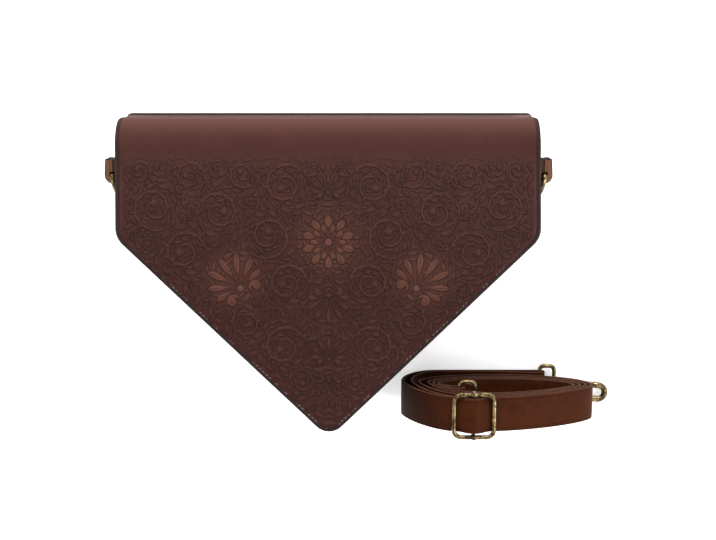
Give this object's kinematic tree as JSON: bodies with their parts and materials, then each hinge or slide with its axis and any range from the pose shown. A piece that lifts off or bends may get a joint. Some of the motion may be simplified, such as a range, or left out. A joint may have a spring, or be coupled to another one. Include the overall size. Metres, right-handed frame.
{
  "type": "envelope crossbody bag with pointed flap, its strap unclipped and rolled up",
  "caption": "Hard leather envelope bag with a pointed tooled flap, side rings and a rolled adjustable strap with swivel hooks.",
  "frame": {"origin": "centre of the back panel's outer face, which lies on the surface, at mid width", "axes": "+X across the bag towards the rolled strap, +Y from the flap's point towards the fold, +Z out of the flap"},
  "size_m": [0.3187, 0.1945, 0.0708],
  "materials": {
    "panel_leather": "dark reddish brown smooth leather",
    "flap_leather": "dark reddish brown tooled leather with burnished high spots",
    "gusset_leather": "brown smooth leather",
    "tab_leather": "mid brown smooth leather",
    "strap_leather": "warm brown strap leather with lighter cut edges",
    "antique_brass": "antique brass, dark in the recesses and worn on the edges",
    "magnet_metal": "plain plated metal"
  },
  "bodies": {
    "root": {"back_panel": "panel_leather", "front_panel": "panel_leather", "gusset": "gusset_leather", "flap": "flap_leather", "magnet_snap": "magnet_metal", "tab_left": "tab_leather", "tab_right": "tab_leather", "strap": "strap_leather", "slider": "antique_brass", "eye_outer": "antique_brass", "eye_inner": "antique_brass"},
    "ring_left": {"d_ring_left": "antique_brass"},
    "ring_right": {"d_ring_right": "antique_brass"},
    "outer_hook": {"hook_outer": "antique_brass"},
    "outer_gate": {"gate_outer": "antique_brass"},
    "inner_hook": {"hook_inner": "antique_brass"},
    "inner_gate": {"gate_inner": "antique_brass"}
  },
  "joints": [
    {"name": "ring_left_swing", "type": "hinge", "parent": "root", "child": "ring_left", "pos_m": [-0.1324, 0.0607, 0.021], "axis": [0, 0, -1], "range_deg": [0, 125]},
    {"name": "ring_right_swing", "type": "hinge", "parent": "root", "child": "ring_right", "pos_m": [0.1324, 0.0607, 0.021], "axis": [0, 0, 1], "range_deg": [0, 125]},
    {"name": "swivel_outer", "type": "hinge", "parent": "root", "child": "outer_hook", "pos_m": [0.1458, -0.0803, 0.0037], "axis": [0.9925, -0.1219, 0], "continuous": true},
    {"name": "gate_outer_lever", "type": "hinge", "parent": "outer_hook", "child": "outer_gate", "pos_m": [0.15927, -0.07727, 0.0037], "axis": [0, 0, -1], "range_deg": [0, 25], "stiffness_Nm_per_rad": 0.02, "springref_deg": -11.46},
    {"name": "swivel_inner", "type": "hinge", "parent": "root", "child": "inner_hook", "pos_m": [0.0906, -0.0803, 0.0428], "axis": [1, 0, 0], "continuous": true},
    {"name": "gate_inner_lever", "type": "hinge", "parent": "inner_hook", "child": "inner_gate", "pos_m": [0.1036, -0.0803, 0.04745], "axis": [0, 1, 0], "range_deg": [0, 25], "stiffness_Nm_per_rad": 0.02, "springref_deg": -11.46}
  ]
}
